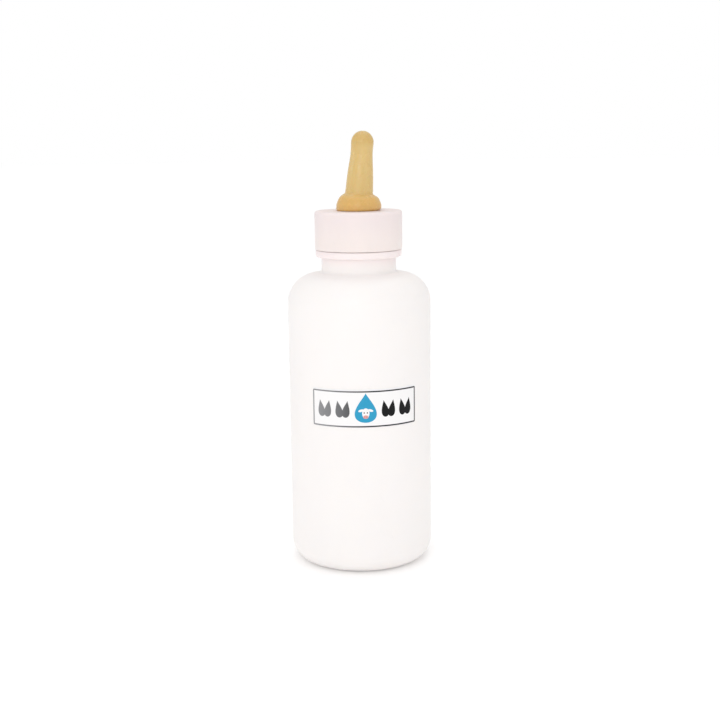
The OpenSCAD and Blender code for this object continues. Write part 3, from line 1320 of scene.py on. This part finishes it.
@dataclass
class Label:
    """The printed film round the front of the body."""

    body_radius: float
    chord: float
    low_z: float
    height: float
    glue: float = 0.02
    thickness: float = 0.1
    corner: float = 1.0
    strips: int = 56

    @property
    def width(self) -> float:
        """Gives the film's width once it is peeled off and laid flat."""
        radius = self.body_radius + self.glue
        return 2.0 * radius * math.asin(self.chord / 2.0 / radius)

    def wrapped(self, place: Vector) -> Vector:
        """Bends a place of the flat film, which lies in the XZ plane, round the body's front.

        Args:
            place: The place.

        Returns:
            Its new place.
        """
        radius = self.body_radius + self.glue - place.y
        angle = place.x / (self.body_radius + self.glue)
        return Vector((radius * math.sin(angle), -radius * math.cos(angle), place.z))

    def film(self) -> bmesh.types.BMesh:
        """Cuts a round-cornered rectangle into strips, gives it its thickness and wraps it.

        Returns:
            The closed film, with a UV map that covers it once from corner to corner.
        """
        mesh = bmesh.new()
        bmesh.ops.create_grid(mesh, x_segments=1, y_segments=1, size=0.5)
        bmesh.ops.scale(mesh, vec=(self.width * MM, self.height * MM, 1.0), verts=mesh.verts)
        round_corners(mesh, mesh.verts, self.corner * MM, 6)
        for index in range(1, self.strips):
            across = (index / self.strips - 0.5) * self.width * MM
            parts = [*mesh.verts, *mesh.edges, *mesh.faces]
            bmesh.ops.bisect_plane(mesh, geom=parts, plane_co=(across, 0.0, 0.0), plane_no=(1.0, 0.0, 0.0))
        upright = Matrix.Rotation(math.radians(90.0), 3, "X")
        bmesh.ops.rotate(mesh, cent=(0.0, 0.0, 0.0), matrix=upright, verts=mesh.verts)
        bmesh.ops.translate(mesh, vec=(0.0, 0.0, (self.low_z + self.height / 2) * MM), verts=mesh.verts)
        layer = mesh.loops.layers.uv.new("film")
        outer = bmesh.ops.extrude_face_region(mesh, geom=list(mesh.faces))["geom"]
        raised = [part for part in outer if isinstance(part, bmesh.types.BMVert)]
        bmesh.ops.translate(mesh, vec=(0.0, -self.thickness * MM, 0.0), verts=raised)
        bmesh.ops.recalc_face_normals(mesh, faces=mesh.faces)
        for face in mesh.faces:
            for loop in face.loops:
                across = loop.vert.co.x / MM / self.width + 0.5
                up = (loop.vert.co.z / MM - self.low_z) / self.height
                loop[layer].uv = (across, up)
        reshape(mesh, self.wrapped)
        return mesh

    def build(self, finish: bpy.types.Material) -> None:
        """Builds the piece and puts it in its place."""
        settle(make_piece("front_label_film", self.film(), finish), Body.BOTTLE, "front_label")


# ---------------------------------------------------------------- the studio


@dataclass(frozen=True)
class SoftLight:
    """A square softbox, in metres, aimed at the bottle."""

    name: str
    place: Point
    size: float
    power: float

    def build(self, target: Vector) -> None:
        """Adds the light.

        Args:
            target: The place that it is turned towards.
        """
        data = bpy.data.lights.new(self.name, "AREA")
        data.shape = "SQUARE"
        data.size = self.size
        data.energy = self.power
        light = bpy.data.objects.new(self.name, data)
        light.location = self.place
        light.rotation_euler = (target - Vector(self.place)).to_track_quat("-Z", "Y").to_euler()
        bpy.context.collection.objects.link(light)


@dataclass(frozen=True)
class SoftSky:
    """Even light from one wide part of the ceiling."""

    name: str
    direction: Point
    spread: float
    strength: float

    def build(self) -> None:
        """Adds the light, shining along its direction."""
        data = bpy.data.lights.new(self.name, "SUN")
        data.angle = math.radians(self.spread)
        data.energy = self.strength
        light = bpy.data.objects.new(self.name, data)
        light.rotation_euler = Vector(self.direction).to_track_quat("-Z", "Y").to_euler()
        bpy.context.collection.objects.link(light)


@dataclass
class Studio:
    """A pale floor, a white surround, a soft ceiling, softboxes and the camera."""

    floor_radius: float = 12.0
    floor_sides: int = 96
    floor_colour: Colour = (0.93, 0.93, 0.93)
    floor_roughness: float = 0.9
    floor_gloss: float = 0.1
    floor_glow: float = 0.1
    surround: float = 0.78
    camera_distance: float = 0.766
    camera_height: float = 0.2649
    camera_down: float = 10.29
    camera_roll: float = 0.68
    camera_side: float = 4.0
    lens: float = 62.25
    film_width: float = 36.0
    nearest: float = 0.01
    aim_height: float = 0.13
    skies: tuple[SoftSky, ...] = (
        SoftSky("soft_ceiling", (0.05, 0.05, -1.0), 70.0, 0.41),
        SoftSky("rear_ceiling", (-0.15, -0.5, -1.0), 50.0, 0.29),
    )
    lights: tuple[SoftLight, ...] = (
        SoftLight("left_softbox", (-1.0, -1.3, 0.3), 0.9, 0.33),
        SoftLight("low_softbox", (0.05, -1.7, 0.25), 0.8, 0.18),
        SoftLight("front_softbox", (-0.25, -0.95, 0.6), 0.5, 1.65),
        SoftLight("right_lamp", (0.9, -0.95, 0.55), 0.1, 0.3),
        SoftLight("left_lamp", (-1.3, 0.1, 0.5), 0.12, 0.3),
    )

    def floor(self) -> None:
        """Adds the round floor that the bottle stands on."""
        mesh = bmesh.new()
        bmesh.ops.create_circle(mesh, cap_ends=True, segments=self.floor_sides, radius=self.floor_radius)
        material = bpy.data.materials.new("pale_floor")
        material.use_nodes = True
        surface = material.node_tree.nodes["Principled BSDF"]
        surface.inputs["Base Color"].default_value = opaque(self.floor_colour)
        surface.inputs["Roughness"].default_value = self.floor_roughness
        surface.inputs["Specular IOR Level"].default_value = self.floor_gloss
        surface.inputs["Emission Color"].default_value = opaque(WHITE)
        surface.inputs["Emission Strength"].default_value = self.floor_glow
        data = bpy.data.meshes.new("studio_floor")
        mesh.to_mesh(data)
        mesh.free()
        data.materials.append(material)
        floor = bpy.data.objects.new("studio_floor", data)
        bpy.context.collection.objects.link(floor)

    def surroundings(self) -> None:
        """Makes the white surround: full white where it is seen, softer as a light."""
        world = bpy.data.worlds.new("white_surround")
        world.use_nodes = True
        world.node_tree.nodes.clear()
        shader = Shader(world.node_tree)
        seen = shader.add("ShaderNodeLightPath").outputs["Is Camera Ray"]
        strength = shader.ramp(seen, 0.0, 1.0, self.surround, 1.0)
        back = shader.add("ShaderNodeBackground", {"Color": opaque(WHITE), "Strength": strength})
        shader.add("ShaderNodeOutputWorld", {"Surface": back.outputs[0]})
        bpy.context.scene.world = world

    def camera(self) -> None:
        """Adds the camera at its fitted place, turned a little to the label's left, and rolled."""
        side = math.radians(self.camera_side)
        ahead = Vector((math.sin(side), math.cos(side), 0.0))
        down = math.radians(self.camera_down)
        look = ahead * math.cos(down) - Vector((0.0, 0.0, math.sin(down)))
        turn = look.to_track_quat("-Z", "Y").to_matrix().to_4x4()
        roll = Matrix.Rotation(math.radians(self.camera_roll), 4, look)
        data = bpy.data.cameras.new("studio_camera")
        data.lens = self.lens
        data.sensor_width = self.film_width
        data.clip_start = self.nearest
        camera = bpy.data.objects.new("studio_camera", data)
        place = -ahead * self.camera_distance + Vector((0.0, 0.0, self.camera_height))
        camera.matrix_world = Matrix.Translation(place) @ roll @ turn
        bpy.context.collection.objects.link(camera)
        bpy.context.scene.camera = camera

    def build(self) -> None:
        """Builds the floor, the surround, the lights and the camera."""
        self.floor()
        self.surroundings()
        self.camera()
        for sky in self.skies:
            sky.build()
        target = Vector((0.0, 0.0, self.aim_height))
        for light in self.lights:
            light.build(target)
        bpy.context.scene.view_settings.view_transform = "Standard"


def node_box(name: str) -> tuple[Vector, Vector]:
    """Gives a CAD node's lowest and highest corner, in millimetres."""
    low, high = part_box(name)
    return low / MM, high / MM


def main() -> None:
    """Builds the studio and the bottle's pieces, in order, and reports each."""
    logging.basicConfig(level=logging.INFO, format="%(name)s: %(message)s")
    Studio().build()
    effects = Effects()
    bottle_low, bottle_high = node_box("bottle")
    cap_low, cap_high = node_box("screw_cap")
    teat_low, _ = node_box("teat")
    label_low, label_high = node_box("front_label")

    white = Plastic(
        "milky_polyethylene",
        colour=(0.95, 0.9, 0.875),
        drift=(0.925, 0.88, 0.865),
        # Partly the pinker tone of the thicker neck plastic, partly painted shade that darkens the bead
        # down to the shaded neck.
        upper_tone_and_shade=(0.9, 0.77, 0.77),
        tone_shade_low=182.0,
        tone_shade_high=193.5,
        roughness=0.4,
    )
    cap_plastic = Plastic(
        "satin_cap_plastic",
        colour=(0.885, 0.785, 0.755),
        drift=(0.86, 0.765, 0.735),
        # The cap's colour darkens towards its top.
        upper_tone_and_shade=(0.835, 0.73, 0.735),
        tone_shade_low=cap_low.z,
        tone_shade_high=cap_high.z,
        roughness=0.44,
    )
    Bottle(radius=bottle_high.x, rim_z=bottle_high.z).build(white.build(effects))
    ScrewCap(radius=cap_high.x, low_z=cap_low.z, top_z=cap_high.z).build(cap_plastic.build(effects))
    plate_z = cap_high.z - ScrewCap.plate
    Teat(rim_z=teat_low.z, plate_z=plate_z, cap_top=cap_high.z).build(Latex().build(effects))
    label = Label(
        body_radius=bottle_high.x,
        chord=label_high.x - label_low.x,
        low_z=label_low.z,
        height=label_high.z - label_low.z,
    )
    label.build(Film(width=label.width, height=label.height).build(effects))


if __name__ == "__main__":
    main()
